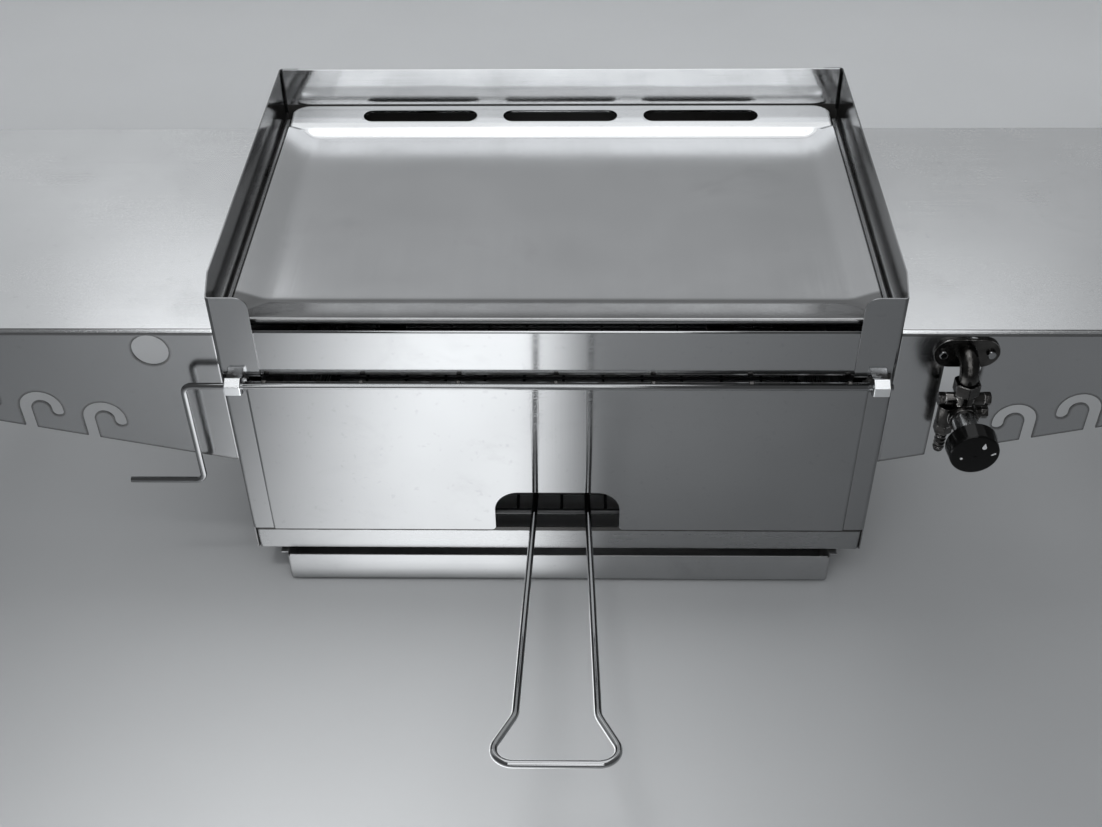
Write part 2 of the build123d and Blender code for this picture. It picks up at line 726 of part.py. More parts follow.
# Bolts and nuts that hold the shelves
bolts = []
nuts = []
for y in shelf_bolt_y:
    head_face = half + sheet
    shank_length = 2 * sheet + shelf_nut_height
    bolt = hexagon((head_face, y, shelf_bolt_z), (1, 0, 0), shelf_bolt_across, shelf_bolt_head)
    bolts.append(bolt + bar((head_face, y, shelf_bolt_z), (-1, 0, 0), shelf_bolt_radius, shank_length))
    nuts.append(hexagon((inner_half, y, shelf_bolt_z), (-1, 0, 0), shelf_bolt_across, shelf_nut_height,
                        shelf_bolt_radius + thread_gap))
for kind, pieces in (("bolts", bolts), ("nuts", nuts)):
    nodes[f"right_shelf_{kind}"] = Compound(pieces)
    nodes[f"left_shelf_{kind}"] = Compound([mirror(piece, about=Plane.YZ) for piece in pieces])

# Gas tap: flange on the apron, elbow down to the tap's body, bonnet, hose barb
flange_front = shelf_front - tap_flange_plate
tap_flange = Pos(tap_x, gas_height) * SlotOverall(tap_flange_width, tap_flange_height)
tap_flange -= Pos(tap_x, gas_height) * Circle(elbow_radius + thread_gap)
for x in bolt_x:
    tap_flange -= Pos(x, gas_height) * Circle(tap_bolt_hole)
nodes["valve_flange"] = backward(tap_flange, flange_front, shelf_front)
flange_bolts = []
flange_nuts = []
for x in bolt_x:
    head = hexagon((x, flange_front, gas_height), (0, -1, 0), tap_bolt_across, tap_bolt_head)
    shank_length = tap_flange_plate + sheet + tap_nut_height
    flange_bolts.append(head + bar((x, flange_front, gas_height), (0, 1, 0), tap_bolt_radius, shank_length))
    flange_nuts.append(hexagon((x, apron_back, gas_height), (0, 1, 0), tap_bolt_across, tap_nut_height,
                               tap_bolt_hole))
nodes["flange_bolts"] = Compound(flange_bolts)
nodes["flange_nuts"] = Compound(flange_nuts)
elbow_path = FilletPolyline(
    (tap_x, tap_y, union_height), (tap_x, tap_y, gas_height), (tap_x, pipe_start, gas_height),
    radius=elbow_bend)
nodes["outlet_elbow"] = wire_along(elbow_path, elbow_radius, elbow_bore)
nodes["union_nut"] = hexagon(
    (tap_x, tap_y, union_height - union_length / 2), (0, 0, 1), union_across, union_length,
    max(elbow_radius, column_radius) + thread_gap, (1, 0, 0))

inlet_x = tap_x - inlet_offset
inlet_bottom = tap_height - inlet_drop
valve_body = bar((tap_x, barrel_front, tap_height), (0, 1, 0), barrel_radius, barrel_length)
valve_body += bar((tap_x, tap_y, tap_height), (0, 0, 1), column_radius, union_height - tap_height)
valve_body += bar((inlet_x, tap_y, inlet_bottom), (0, 0, 1), inlet_radius, inlet_drop + inlet_rise)
plug_z = tap_height + plug_rise
plug_ends = [(1, tap_height), (1, plug_z), (-1, plug_z)]
side_plugs = []
for side, z in plug_ends:
    valve_body += bar((tap_x, tap_y, z), (side, 0, 0), boss_radius, plug_reach)
    side_plugs.append(hexagon((tap_x + side * plug_reach, tap_y, z), (side, 0, 0), plug_across, plug_length))
nodes["valve_body"] = valve_body
nodes["side_plugs"] = Compound(side_plugs)

barb_points = [(barb_bore, 0), (barb_radius, 0), (barb_radius, -barb_nut_length)]
rib_pitch = (barb_length - barb_nut_length) / barb_ribs
for index in range(barb_ribs):
    rib_top = -barb_nut_length - index * rib_pitch
    barb_points += [(barb_radius + barb_rib, rib_top), (barb_radius, rib_top - rib_pitch)]
barb_points.append((barb_bore, -barb_length))
barb = revolve(Plane.XZ * make_face(Polyline(*barb_points, close=True)), Axis.Z)
nodes["hose_barb"] = Pos(inlet_x, tap_y, inlet_bottom) * barb
nodes["barb_nut"] = hexagon(
    (inlet_x, tap_y, inlet_bottom), (0, 0, -1), barb_nut_across, barb_nut_length,
    barb_radius + thread_gap, (1, 0, 0))

# Pieces round the tap's axis are turned: distance in front of the barrel against radius
tap_axis = Plane((tap_x, barrel_front, tap_height), x_dir=(1, 0, 0), z_dir=(0, 0, 1))


def turned(profile):
    """Solid of revolution from points (radius, distance in front of the barrel)."""
    outline = Polyline(*[(radius, -ahead) for radius, ahead in profile], close=True)
    return tap_axis * revolve(make_face(outline), Axis.Y)


bonnet_inside = bonnet_length - bonnet_face
stem_hole = stem_radius + thread_gap
nodes["valve_bonnet"] = turned([
    (bonnet_bore, 0), (bonnet_back_radius, 0), (bonnet_front_radius, bonnet_length),
    (stem_hole, bonnet_length), (stem_hole, bonnet_inside), (bonnet_bore, bonnet_inside)])
collar_front = bonnet_inside - collar_from_face
collar_back = collar_front - collar_length
collar_bore = stem_radius + running_fit
collar_radius = bonnet_bore - running_fit
nodes["stem_collar"] = turned([
    (collar_bore, collar_back), (collar_radius, collar_back),
    (collar_radius, collar_front), (collar_bore, collar_front)])
knob_at = barrel_front - knob_back
knob_face = knob_at + knob_depth
stem_back = push_travel + knob_clear
stem_front = knob_at + stem_in_knob
nodes["valve_stem"] = turned([
    (0, stem_back), (stem_radius, stem_back), (stem_radius, stem_front), (0, stem_front)])

# Knob: a hollow cap with a hub on the stem and a slightly domed face
face_radius = knob_radius - knob_taper
rim_inner = knob_radius - knob_rim
knob_profile = Polyline(
    (0, -stem_front), (stem_radius, -stem_front), (stem_radius, -knob_at),
    (knob_hub, -knob_at), (knob_hub, -knob_at - knob_hollow), (rim_inner, -knob_at - knob_hollow),
    (rim_inner, -knob_at), (knob_radius, -knob_at), (face_radius, knob_dome - knob_face))
dome = TangentArc((0, -knob_face), (face_radius, knob_dome - knob_face), tangent=(1, 0))
knob_section = make_face(knob_profile + dome + Line((0, -knob_face), (0, -stem_front)))
knob = revolve(knob_section, Axis.Y)
circles = knob.edges().filter_by(GeomType.CIRCLE)
knob = fillet([edge for edge in circles if abs(edge.radius - face_radius) < match], knob_edge)
nodes["knob"] = tap_axis * knob

# Stand the object on the floor with its middle over the origin, and write one file per piece
foremost = -handle_reach
rearmost = body_depth + rivet_head_height
to_floor = Pos(0, -(foremost + rearmost) / 2, floor_gap)
os.makedirs("parts", exist_ok=True)
for name, solid in nodes.items():
    export_step(to_floor * solid, os.path.join("parts", f"{name}.step"))
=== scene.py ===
from math import cos, pi, radians, sin

import bmesh
import bpy
from mathutils import Matrix, Vector


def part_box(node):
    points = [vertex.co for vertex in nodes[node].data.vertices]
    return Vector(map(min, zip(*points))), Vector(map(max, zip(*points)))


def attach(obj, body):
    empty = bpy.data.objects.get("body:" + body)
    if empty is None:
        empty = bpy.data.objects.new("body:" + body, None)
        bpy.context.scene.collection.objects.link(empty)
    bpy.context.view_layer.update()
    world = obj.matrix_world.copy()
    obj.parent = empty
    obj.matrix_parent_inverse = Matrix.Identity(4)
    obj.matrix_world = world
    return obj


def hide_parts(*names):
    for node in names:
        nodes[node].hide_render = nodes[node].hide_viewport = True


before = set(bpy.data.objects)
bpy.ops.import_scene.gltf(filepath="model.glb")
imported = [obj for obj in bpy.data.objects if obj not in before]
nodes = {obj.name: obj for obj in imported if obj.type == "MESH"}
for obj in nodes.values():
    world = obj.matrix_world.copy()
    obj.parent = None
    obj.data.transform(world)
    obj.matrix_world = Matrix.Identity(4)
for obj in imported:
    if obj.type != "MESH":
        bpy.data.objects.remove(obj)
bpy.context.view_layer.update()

# Side panels: each is one sheet of bright stainless steel, folded at the front into the flange that carries
# the hinge bush and at the back into the flange that is riveted to the back panel. Welding the bush has
# left soot on the flange. Their inner faces are sooted below the griddle, and above it carry tarnish that
# is partly painted shade.
MM = 0.001


class Shade:
    """A socket in a node tree, so that shader maths is written as Python expressions."""

    def __init__(self, tree, socket=None):
        self.tree = tree
        self.socket = socket

    def node(self, kind, settings=None, sockets=None, result=0):
        """Adds a node: its settings first, then the values or links of its sockets."""
        made = self.tree.nodes.new("ShaderNode" + kind)
        for name, value in (settings or {}).items():
            setattr(made, name, value)
        for name, value in (sockets or {}).items():
            if isinstance(value, Shade):
                self.tree.links.new(value.socket, made.inputs[name])
            else:
                made.inputs[name].default_value = value
        return Shade(self.tree, made.outputs[result])

    def maths(self, operation, *values):
        return self.node("Math", {"operation": operation}, dict(enumerate(values)))

    def __add__(self, other):
        return self.maths("ADD", self, other)

    def __radd__(self, other):
        return self.maths("ADD", other, self)

    def __sub__(self, other):
        return self.maths("SUBTRACT", self, other)

    def __rsub__(self, other):
        return self.maths("SUBTRACT", other, self)

    def __mul__(self, other):
        return self.maths("MULTIPLY", self, other)

    def __rmul__(self, other):
        return self.maths("MULTIPLY", other, self)

    def __truediv__(self, other):
        return self.maths("DIVIDE", self, other)

    def __pow__(self, other):
        return self.maths("POWER", self, other)

    def __abs__(self):
        return self.maths("ABSOLUTE", self)

    def most(self, other):
        return self.maths("MAXIMUM", self, other)

    def rise(self, low, high):
        """0 below low, 1 above high, smooth between; falls where low is the larger."""
        return self.node("MapRange", {"interpolation_type": "SMOOTHSTEP"},
                         {"Value": self, "From Min": low, "From Max": high})

    def times(self, scale):
        """A vector stretched on each axis."""
        return self.node("VectorMath", {"operation": "MULTIPLY"}, {0: self, 1: scale})

    def turned(self, axis, degrees):
        """A vector turned round an axis."""
        return self.node("VectorRotate", {"rotation_type": "AXIS_ANGLE"},
                         {"Vector": self, "Axis": axis, "Angle": radians(degrees)})

    def noise(self, scale, detail=3.0, roughness=0.5, distortion=0.0):
        return self.node("TexNoise", None, {"Vector": self, "Scale": scale, "Detail": detail,
                                            "Roughness": roughness, "Distortion": distortion})

    def tint(self, under, over):
        """Colour under where this value is 0 and over where it is 1."""
        return self.node("Mix", {"data_type": "RGBA"}, {0: self, 6: under, 7: over}, 2)

    def part(self, axis):
        """One coordinate of a vector."""
        return self.node("SeparateXYZ", None, {0: self}, "XYZ".index(axis))

    def bump(self):
        """The normals of a surface with this height, in metres."""
        return self.node("Bump", None, {"Height": self, "Distance": 1.0})


COOL = -0.012


def grey(level, warmth=COOL):
    """A near-neutral colour, cool where warmth is negative."""
    return (level * (1 + warmth), level, level * (1 - warmth), 1.0)


def material(name):
    """A new material, its shader, and the place on the part in metres."""
    made = bpy.data.materials.new(name)
    made.use_nodes = True
    shader = made.node_tree.nodes["Principled BSDF"]
    at = Shade(made.node_tree).node("TexCoord", None, None, "Object")
    return made, shader, at


def connect(shader, **values):
    """Sets or links the shader's sockets; names have underscores for spaces."""
    for name, value in values.items():
        socket = shader.inputs[name.replace("_", " ")]
        if isinstance(value, Shade):
            value.tree.links.new(value.socket, socket)
        else:
            socket.default_value = value


LINES_PER_METRE = 2600.0


def hairlines(at, axis, degrees, length, share):
    """Sparse fine scratches, as a mask: at is stretched along a turned direction."""
    lines = at.turned(axis, degrees).times((1 / length, LINES_PER_METRE, LINES_PER_METRE)).noise(1.0, 1.0)
    patches = at.noise(9.0, 2.0).rise(0.42, 0.70)
    return lines.rise(share, share + 0.06) * patches


GRAIN_DEPTH, SCRATCH_DEPTH = 0.012 * MM, 0.010 * MM
LEAST_ROUGHNESS = 0.05
# One dark tone, for soot and for painted shade.
SOOT_AND_SHADE_COLOUR = grey(0.035, 0.05)


def steel(name, level, roughness, grain, wave=0.25 * MM, smudge=0.12, stain=0.10, scratch=0.5,
          facing=(0, 1, 0), soot_and_shade=None, dulling=0.3, bow=None, warmth=COOL):
    """Stainless steel: rolling grain, faint waves, smudges, hairline scratches and, where asked for,
    darkening that is soot on some parts and painted shade on others.

    Level is its brightness and grain its rolling marks per metre along each axis. Wave is a height, and
    smudge, stain, scratch and dulling are strengths. The darkening by soot and painted shade, and the bow,
    are functions of the place on the part.
    """
    made, shader, at = material(name)
    rolled = at.times(grain).noise(1.0, 2.0, 0.6)
    cloud = at.noise(3.1, 3.0, 0.55)
    smear = at.noise(11.0, 5.0, 0.62, 0.4)
    specks = at.noise(160.0, 2.0, 0.5).rise(0.66, 0.74)
    long_lines = hairlines(at, facing, 9.0, 0.11, 0.64)
    short_lines = hairlines(at, facing, 71.0, 0.07, 0.66)
    scratches = long_lines.most(short_lines) * scratch
    colour = cloud.rise(0.3, 0.72).tint(grey(level * (1 - stain), warmth), grey(level, warmth))
    colour = (smear.rise(0.55, 0.8) * stain * 1.6 + specks * 0.12).tint(colour, grey(level * 0.45, warmth))
    rough = roughness + (smear - 0.5) * smudge + (rolled - 0.5) * 0.07 + scratches * 0.14
    metal = 1.0
    # Soot darkens the colour here; on the aprons, the rail's top and the inner walls, painted shade does too.
    if soot_and_shade:
        dark = soot_and_shade(at)
        colour = dark.tint(colour, SOOT_AND_SHADE_COLOUR)
        rough = rough + dark * dulling
        metal = 1.0 - dark.rise(0.7, 0.95) * 0.9
    waves = at.noise(7.0, 1.0) * wave + at.noise(2.2, 0.0) * wave * 2.0
    height = rolled * GRAIN_DEPTH + waves - scratches * SCRATCH_DEPTH
    if bow:
        height = height + bow(at)
    connect(shader, Base_Color=colour, Roughness=rough.most(LEAST_ROUGHNESS), Metallic=metal,
            Normal=height.bump())
    return made


JOIN_REACH = 0.002 * MM
SHARP_TURN = radians(40)


def dress(finish, *names, edge=0.25 * MM, limited=True):
    """Gives CAD nodes a finish and rounds their sharp edges, where limited no further than the next edge."""
    for name in names:
        piece = nodes[name]
        piece.data.materials.clear()
        piece.data.materials.append(finish)
        if edge:
            joined = piece.modifiers.new("joined", "WELD")
            joined.merge_threshold = JOIN_REACH
            broken = piece.modifiers.new("broken_edges", "BEVEL")
            broken.width = edge
            broken.segments = 2
            broken.limit_method = "ANGLE"
            broken.angle_limit = SHARP_TURN
            broken.use_clamp_overlap = limited
            broken.harden_normals = True


hinge_low, hinge_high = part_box("left_hinge_bush")
HINGE_Z = (hinge_low.z + hinge_high.z) / 2
BUSH_X = -(hinge_low.x + hinge_high.x) / 2
FLANGE_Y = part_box("left_side_panel")[0].y
BODY_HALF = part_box("right_side_panel")[1].x
GRIDDLE_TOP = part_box("griddle")[1].z
SOOT_STRETCH = 1.5


def bush_soot(at):
    """Burnt patches round the welded bush, on the flange's front only."""
    across = abs(abs(at.part("X")) - BUSH_X) / SOOT_STRETCH
    above = at.part("Z") - HINGE_Z
    ragged = at.noise(240.0, 3.0, 0.6) * (12.0 * MM)
    ring = (across * across + above * above) ** 0.5 + ragged
    front = at.part("Y").rise(FLANGE_Y + 1.2 * MM, FLANGE_Y + 0.6 * MM)
    return ring.rise(21.0 * MM, 13.0 * MM) * front * at.noise(90.0, 2.0).rise(0.36, 0.52)


def burner_soot_and_shade(at, inward):
    """Burnt black below the griddle, and above it tarnish that is partly painted shade; inward is 1 on faces
    that look into the body.
    """
    ragged = at.noise(30.0, 4.0, 0.6) * (20.0 * MM)
    # Painted shade: the tarnish above the griddle is partly heat tint and partly painted shade on the inner
    # walls.
    tarnish_and_shade = (at.part("Z") + ragged * 0.4).rise(GRIDDLE_TOP + 75.0 * MM, GRIDDLE_TOP + 10.0 * MM) * 0.8
    burnt_and_edge_shade = (at.part("Z") + ragged).rise(GRIDDLE_TOP + 8.0 * MM, GRIDDLE_TOP - 2.0 * MM)
    return burnt_and_edge_shade.most(tarnish_and_shade) * inward * 0.93


def side_soot_and_shade(at):
    """Soot round the bush, and on the inner face soot with tarnish that is partly painted shade."""
    inner = abs(at.part("X")).rise(BODY_HALF - 0.7 * MM, BODY_HALF - 1.1 * MM)
    behind = at.part("Y").rise(FLANGE_Y + 0.6 * MM, FLANGE_Y + 1.2 * MM)
    return bush_soot(at).most(burner_soot_and_shade(at, inner * behind))


side_steel = steel("side_panel_steel", level=0.33, roughness=0.09, grain=(500.0, 4.0, 500.0), wave=0.12 * MM,
                   facing=(1, 0, 0), soot_and_shade=side_soot_and_shade, dulling=0.06)
dress(side_steel, "left_side_panel", "right_side_panel")

# Back panel: a flat sheet of bright stainless steel between the side panels. A row of dome-head rivets at
# each end holds it to their rear flanges.
BACK_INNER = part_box("back_panel")[0].y
BACK_LEAN = -0.07


def back_soot(at):
    """Soot below the griddle's deck and a film of heat tint above its vents, on the inner face only."""
    inner = at.part("Y").rise(BACK_INNER + 1.1 * MM, BACK_INNER + 0.7 * MM)
    below = at.part("Z").rise(GRIDDLE_TOP + 0.5 * MM, GRIDDLE_TOP - 1.5 * MM)
    ragged = at.noise(14.0, 3.0, 0.5) * (5.0 * MM)
    heat_film = (at.part("Z") + ragged).rise(GRIDDLE_TOP + 25.0 * MM, GRIDDLE_TOP + 21.0 * MM) * 0.26
    return below.most(heat_film) * inner


def back_bow(at):
    """The sheet reflects as if its top edge were a little further back than its foot."""
    return at.part("Z") * BACK_LEAN


back_steel = steel("back_panel_steel", level=0.72, roughness=0.08, grain=(4.0, 500.0, 500.0), wave=0.3 * MM,
                   soot_and_shade=back_soot, bow=back_bow)
dress(back_steel, "back_panel")
rivet_steel = steel("rivet_steel", level=0.52, roughness=0.22, grain=(300.0, 300.0, 300.0), wave=0.0,
                    scratch=0.0)
dress(rivet_steel, "rear_rivets", edge=0)

# Front fascia: a strip of bright stainless sheet across the front, above the door. Its top is hemmed shut and
# its ends are welded behind the flanges of the side panels.
fascia_steel = steel("fascia_steel", level=0.35, roughness=0.09, grain=(4.0, 500.0, 500.0), wave=0.2 * MM)
dress(fascia_steel, "front_fascia", edge=0.15 * MM)

# Lower front rail: a channel of bright stainless sheet under the door, its ends folded back along the side
# panels. A black line of painted shadow runs along its top, under the door's bottom edge.
RAIL_FRONT, RAIL_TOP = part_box("lower_front_rail")[0].y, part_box("lower_front_rail")[1].z


def rail_soot_and_shade(at):
    """Soot inside, and along the top a black line of painted shadow from the gap under the door."""
    inside = burner_soot_and_shade(at, at.part("Y").rise(RAIL_FRONT + 0.7 * MM, RAIL_FRONT + 1.1 * MM))
    ragged = at.noise(60.0, 3.0, 0.6) * (1.2 * MM)
    # Painted shadow: the black line along the top stands for the shade in the gap under the door.
    return (at.part("Z") + ragged).rise(RAIL_TOP - 4.6 * MM, RAIL_TOP - 3.8 * MM).most(inside)


rail_steel = steel("rail_steel", level=0.36, roughness=0.28, grain=(4.0, 500.0, 500.0), wave=0.2 * MM,
                   soot_and_shade=rail_soot_and_shade)
dress(rail_steel, "lower_front_rail")

# Hinge bushes: short lengths of hex bar, of bright zinc-plated steel. They are drilled for the rod and welded
# to the front flanges.
bush_zinc = steel("bush_zinc", level=0.92, roughness=0.22, grain=(60.0, 700.0, 700.0), wave=0.0, smudge=0.08,
                  stain=0.05, scratch=0.2)
dress(bush_zinc, "left_hinge_bush", "right_hinge_bush", edge=0.7 * MM)

# Ledges and runners: folded strips of satin sheet on the inner faces of the side panels. They carry the
# griddle, the rack and the drip tray.
strip_steel = steel("strip_steel", level=0.52, roughness=0.28, grain=(500.0, 4.0, 500.0), wave=0.1 * MM,
                    facing=(1, 0, 0))
dress(strip_steel, "left_griddle_ledge", "right_griddle_ledge", "left_rack_runner", "right_rack_runner",
      "left_tray_runner", "right_tray_runner")

# Feet: moulded black rubber on steel studs, held on the runners by zinc-plated nuts. The bolts and nuts of
# the shelves have the same plating.
foot_rubber, shader, at = material("foot_rubber")
dust = at.noise(45.0, 4.0, 0.6).rise(0.45, 0.75)
pores = at.noise(900.0, 2.0) * (0.06 * MM)
connect(shader, Base_Color=(dust * 0.5).tint(grey(0.018, 0.0), grey(0.08, 0.03)), Roughness=0.62 + dust * 0.2,
        Normal=pores.bump())
dress(foot_rubber, "front_left_foot", "front_right_foot", "rear_left_foot", "rear_right_foot", edge=0)
zinc = steel("zinc_fastener", level=0.66, roughness=0.24, grain=(400.0, 400.0, 400.0), wave=0.0, smudge=0.1,
             stain=0.12, scratch=0.2)
dress(zinc, "foot_nuts", "left_shelf_bolts", "right_shelf_bolts", "left_shelf_nuts", "right_shelf_nuts")

# Drip tray: a pan of satin stainless sheet, thinner than the body's, with its front edge turned up. It slides
# on its side lips.
tray_steel = steel("tray_steel", level=0.46, roughness=0.50, grain=(5.0, 450.0, 450.0), wave=0.25 * MM,
                   smudge=0.16, stain=0.14)
dress(tray_steel, "drip_tray", edge=0.2 * MM)

# Burner: a stainless tube bent double and drilled with flame ports, on two straps across the body. Heat has
# turned it straw and brown.
burner_steel = steel("burner_steel", level=0.34, roughness=0.36, grain=(40.0, 300.0, 300.0), wave=0.0,
                     smudge=0.2, stain=0.45, warmth=0.10)
dress(burner_steel, "burner_tube", edge=0)
dress(burner_steel, "burner_straps")

# Griddle: a heavy steel plate pressed to a shallow dish, with a lip in front, folded sides and a deck with
# three vents behind. It lies loose on its ledges, and grease has left a film on its front slope.
griddle_low, griddle_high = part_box("griddle")
PLATE = 3.0 * MM
SINK = 12.0 * MM
SIDE_RUN, FRONT_RUN, REAR_RUN = 31.0 * MM, 43.0 * MM, 14.0 * MM
DECK, DECK_BLEND, DECK_CORNER = 43.0 * MM, 14.0 * MM, 22.0 * MM
SIDE_HEM, FRONT_LIP = 10.0 * MM, 7.0 * MM
OUTER_BEND, OUTER_BEND_STEPS = 3.2 * MM, 8
CREST_ROUNDING, REAR_ROUNDING, FLOOR_ROUNDING = 8.0 * MM, 17.0 * MM, 3.5 * MM
MITRE_ROUNDING = 0.22
VENT_LENGTH, VENT_WIDTH, VENT_PITCH, VENT_FROM_BACK = 122.0 * MM, 21.0 * MM, 150.0 * MM, 20.0 * MM
PLATE_EDGE, PLATE_SHARP_TURN = 1.2 * MM, radians(60)
SMOOTH_TURN = radians(38)
FINE, COARSE = 1.6 * MM, 7.0 * MM


def front_film(at):
    """Thin burnt-on film on the slope at the front of the plate, where grease runs off."""
    uneven = 0.52 + at.noise(18.0, 4.0, 0.6) * 0.24
    return at.part("Y").rise(griddle_low.y + 46.0 * MM, griddle_low.y + 40.0 * MM) * uneven


griddle_steel = steel("griddle_steel", level=0.55, roughness=0.18, grain=(420.0, 5.0, 420.0), wave=0.15 * MM,
                      smudge=0.14, stain=0.14, scratch=0.0, facing=(0, 0, 1), soot_and_shade=front_film, dulling=0.0)


def eased(distance, rounding):
    """The distance where it is positive and 0 where it is negative, with a rounded turn."""
    return 0.5 * (distance + (distance * distance + rounding * rounding) ** 0.5)


def pressed(distance, run, crest=CREST_ROUNDING):
    """How far a wall has come down, from 0 at its rim to 1 at the cooking floor."""
    return (eased(distance, crest) - eased(distance - run, FLOOR_ROUNDING)) / run


def rounded_least(first, second):
    """The smaller of two values, with the corner between them rounded."""
    share = min(1.0, max(0.0, 0.5 + 0.5 * (second - first) / MITRE_ROUNDING))
    return second + (first - second) * share - MITRE_ROUNDING * share * (1 - share)


def plate_height(x, y):
    """The height of the plate's upper face, without its folded edges."""
    on_deck = min(1.0, max(0.0, (y - griddle_high.y + DECK) / DECK_BLEND))
    sides = pressed(griddle_high.x - abs(x), SIDE_RUN) + on_deck
    front = pressed(y - griddle_low.y, FRONT_RUN)
    rear = pressed(griddle_high.y - DECK - y, REAR_RUN, REAR_ROUNDING)
    return griddle_high.z - SINK * max(0.0, rounded_least(rounded_least(sides, front), rear))


def folded_edge(drop):
    """Points over a folded edge: distance in from the edge, and drop below the plate."""
    points = [(0.0, drop), (0.0, (drop + OUTER_BEND) / 2)]
    for step in range(OUTER_BEND_STEPS + 1):
        bend = pi / 2 * step / OUTER_BEND_STEPS
        points.append((OUTER_BEND * (1 - cos(bend)), OUTER_BEND * (1 - sin(bend))))
    return points


def steps(start, end, margin):
    """Values between two ends, close together within a margin of each."""
    values = []
    value = start + FINE
    while value < end - FINE / 2:
        values.append(value)
        value += FINE if min(value - start, end - value) < margin else COARSE
    return values


half = griddle_high.x
across = [(edge - half, drop) for edge, drop in folded_edge(SIDE_HEM)]
across += [(x, 0.0) for x in steps(OUTER_BEND - half, half - OUTER_BEND, SIDE_RUN * 1.2)]
across += [(half - edge, drop) for edge, drop in reversed(folded_edge(SIDE_HEM))]
along = [(griddle_low.y + edge, drop) for edge, drop in folded_edge(FRONT_LIP)]
along += [(y, 0.0) for y in steps(griddle_low.y + OUTER_BEND, griddle_high.y, DECK + REAR_RUN * 1.6)]
along.append((griddle_high.y, 0.0))
plate = bmesh.new()
rows = []
for y, front_drop in along:
    most_side_drop = PLATE if y > griddle_high.y - DECK else SIDE_HEM
    row = []
    for x, side_drop in across:
        drop = max(front_drop, min(side_drop, most_side_drop))
        row.append(plate.verts.new((x, y, plate_height(x, y) - drop)))
    rows.append(row)
for near, far in zip(rows, rows[1:]):
    for index in range(len(across) - 1):
        plate.faces.new((near[index], near[index + 1], far[index + 1], far[index]))


def new_piece(name, shape):
    """A bmesh as an object in the scene."""
    mesh = bpy.data.meshes.new(name)
    shape.to_mesh(mesh)
    shape.free()
    piece = bpy.data.objects.new(name, mesh)
    bpy.context.scene.collection.objects.link(piece)
    return piece


def prism(name, outline, bottom, top):
    """A closed upright block with a plan of points."""
    shape = bmesh.new()
    lower = [shape.verts.new((x, y, bottom)) for x, y in outline]
    upper = [shape.verts.new((x, y, top)) for x, y in outline]
    shape.faces.new(list(reversed(lower)))
    shape.faces.new(upper)
    for index in range(len(outline)):
        after = (index + 1) % len(outline)
        shape.faces.new((lower[index], lower[after], upper[after], upper[index]))
    return new_piece(name, shape)


def arc(centre, radius, start, end, count=16):
    """Points along an arc, in degrees."""
    turns = [radians(start + (end - start) * step / count) for step in range(count + 1)]
    return [(centre[0] + radius * cos(turn), centre[1] + radius * sin(turn)) for turn in turns]


def settled(piece):
    """Applies a piece's modifiers and shades it smooth, apart from its real edges."""
    mesh = bpy.data.meshes.new_from_object(piece.evaluated_get(bpy.context.evaluated_depsgraph_get()))
    piece.modifiers.clear()
    piece.data = mesh
    mesh.shade_smooth()
    mesh.set_sharp_from_angle(angle=SMOOTH_TURN)


cooking_plate = new_piece("cooking_plate", plate)
thick = cooking_plate.modifiers.new("thickness", "SOLIDIFY")
thick.thickness = PLATE
thick.offset = -1.0
cuts = []
cut_bottom, cut_top = griddle_low.z - SINK, griddle_high.z + SINK
vent_y = griddle_high.y - VENT_FROM_BACK
vent_reach = (VENT_LENGTH - VENT_WIDTH) / 2
for index in (-1, 0, 1):
    middle = index * VENT_PITCH
    outline = arc((middle + vent_reach, vent_y), VENT_WIDTH / 2, -90, 90)
    outline += arc((middle - vent_reach, vent_y), VENT_WIDTH / 2, 90, 270)
    cuts.append(prism("vent_cut", outline, cut_bottom, cut_top))
for side in (-1, 1):
    centre = (side * (half - DECK_CORNER), griddle_high.y - DECK_CORNER)
    outline = arc(centre, DECK_CORNER, 0 if side > 0 else 180, 90)
    outline += [(centre[0], griddle_high.y + SINK), (side * (half + SINK), griddle_high.y + SINK),
                (side * (half + SINK), centre[1])]
    if side > 0:
        outline.reverse()
    cuts.append(prism("corner_cut", outline, cut_bottom, cut_top))
for cut in cuts:
    opening = cooking_plate.modifiers.new("cut", "BOOLEAN")
    opening.object = cut
    opening.operation = "DIFFERENCE"
    opening.solver = "EXACT"
broken = cooking_plate.modifiers.new("broken_edges", "BEVEL")
broken.width = PLATE_EDGE
broken.segments = 2
broken.limit_method = "ANGLE"
broken.angle_limit = PLATE_SHARP_TURN
bpy.context.view_layer.update()
settled(cooking_plate)
for cut in cuts:
    bpy.data.objects.remove(cut)
cooking_plate.data.materials.append(griddle_steel)
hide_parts("griddle")
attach(cooking_plate, "griddle_plate")

# Door: one bright sheet with folded sides and an arched notch, hanging from the rod that is tacked along its
# top edge. The welding has left a dark line under the rod.
WELD_LINE_Z = HINGE_Z + 2.0 * MM


def weld_soot(at):
    """A ragged dark line along the door's top edge."""
    below = WELD_LINE_Z - at.part("Z")
    ragged = at.noise(130.0, 3.0, 0.6) * (6.0 * MM)
    return (below + ragged).rise(8.5 * MM, 3.5 * MM) * at.noise(50.0, 2.0).rise(0.3, 0.6) * 0.85


door_steel = steel("door_steel", level=0.33, roughness=0.065, grain=(500.0, 500.0, 4.0), wave=0.5 * MM,
                   smudge=0.10, stain=0.14, soot_and_shade=weld_soot)
dress(door_steel, "door_panel", edge=0.45 * MM)

# Hinge rod: one length of drawn stainless rod that turns in the bushes. Its left end is bent into the crank
# that lifts the door.
rod_steel = steel("rod_steel", level=0.32, roughness=0.07, grain=(12.0, 900.0, 900.0), wave=0.0, smudge=0.05,
                  stain=0.12, scratch=0.2)
dress(rod_steel, "hinge_rod", edge=0.5 * MM)

